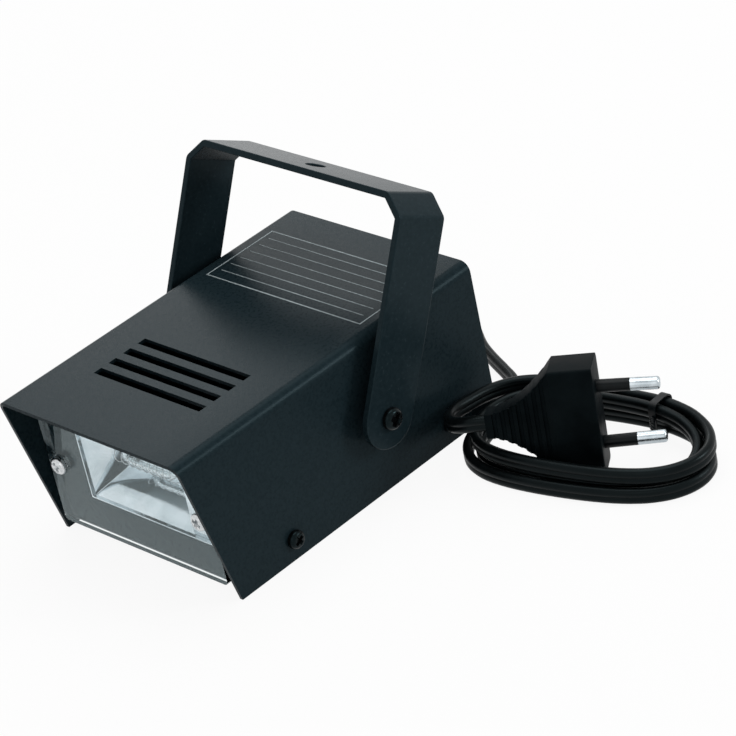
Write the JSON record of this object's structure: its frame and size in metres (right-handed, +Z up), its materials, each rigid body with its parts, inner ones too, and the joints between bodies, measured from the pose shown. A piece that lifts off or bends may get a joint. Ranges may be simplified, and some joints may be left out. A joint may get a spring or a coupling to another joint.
{
  "type": "strobe light",
  "caption": "Mini strobe light: slanted sheet-metal housing with a clear front window, a tilting strap bracket, a rear speed knob and a flat mains cord with a moulded plug.",
  "frame": {"origin": "on the floor under the light, half way between the hood's front edge and the tip of the strain relief, and half way between the pivot screws", "axes": "+Z up, -Y the way the light shines, +Y towards the rear panel with the knob and the cord, +X towards the side where the cord lies"},
  "size_m": [0.1765, 0.1657, 0.0928],
  "materials": {
    "powder_coat": "fine matt powder coat",
    "black_screw": "black oxide",
    "bright_metal": "nickel plated",
    "polished_aluminium": "mirror polished",
    "acrylic": "clear and smooth",
    "tube_glass": "clear quartz",
    "rubber": "matt",
    "cord_skin": "satin vinyl",
    "plug_skin": "satin vinyl",
    "black_plastic": "satin",
    "ceramic": "unglazed",
    "board": "phenolic board",
    "nylon": "natural nylon",
    "capacitor_sleeve": "shrunk sleeve",
    "winding": "enamelled copper wire"
  },
  "bodies": {
    "housing": {"cover": "powder_coat", "chassis": "powder_coat", "cover_screw_left_front": "black_screw", "cover_screw_left_rear": "black_screw", "cover_screw_right_front": "black_screw", "cover_screw_right_rear": "black_screw", "pivot_screw_left": "black_screw", "pivot_screw_right": "black_screw", "pivot_spacer_left": "rubber", "pivot_spacer_right": "rubber", "pivot_nut_left": "bright_metal", "pivot_nut_right": "bright_metal", "window": "acrylic", "window_screw_left": "bright_metal", "window_screw_right": "bright_metal", "window_nut_left": "bright_metal", "window_nut_right": "bright_metal", "reflector": "polished_aluminium", "flash_tube": "tube_glass", "tube_sleeve_left": "rubber", "tube_sleeve_right": "rubber", "tube_socket": "ceramic", "circuit_board": "board", "board_post_1": "nylon", "board_post_2": "nylon", "board_post_3": "nylon", "board_post_4": "nylon", "storage_capacitor_left": "capacitor_sleeve", "storage_capacitor_right": "capacitor_sleeve", "trigger_transformer": "winding", "ballast_resistor": "ceramic", "potentiometer_body": "bright_metal", "potentiometer_nut": "bright_metal", "strain_relief": "rubber", "cord_lead": "cord_skin", "cord_coil": "cord_skin", "cord_tail": "cord_skin", "cord_tie": "rubber", "plug_body": "plug_skin", "plug_sleeve_lower": "plug_skin", "plug_sleeve_upper": "plug_skin", "plug_pin_lower": "bright_metal", "plug_pin_upper": "bright_metal"},
    "bracket": {"bracket": "powder_coat"},
    "knob": {"speed_knob": "black_plastic", "potentiometer_shaft": "bright_metal"}
  },
  "joints": [
    {"name": "bracket_tilt", "type": "hinge", "parent": "housing", "child": "bracket", "pos_m": [0, 0.0046, 0.0279], "axis": [1, 0, 0], "range_deg": [-62, 85]},
    {"name": "speed_knob_turn", "type": "hinge", "parent": "housing", "child": "knob", "pos_m": [0.014, 0.06, 0.031], "axis": [0, 1, 0], "range_deg": [-140, 140]}
  ]
}
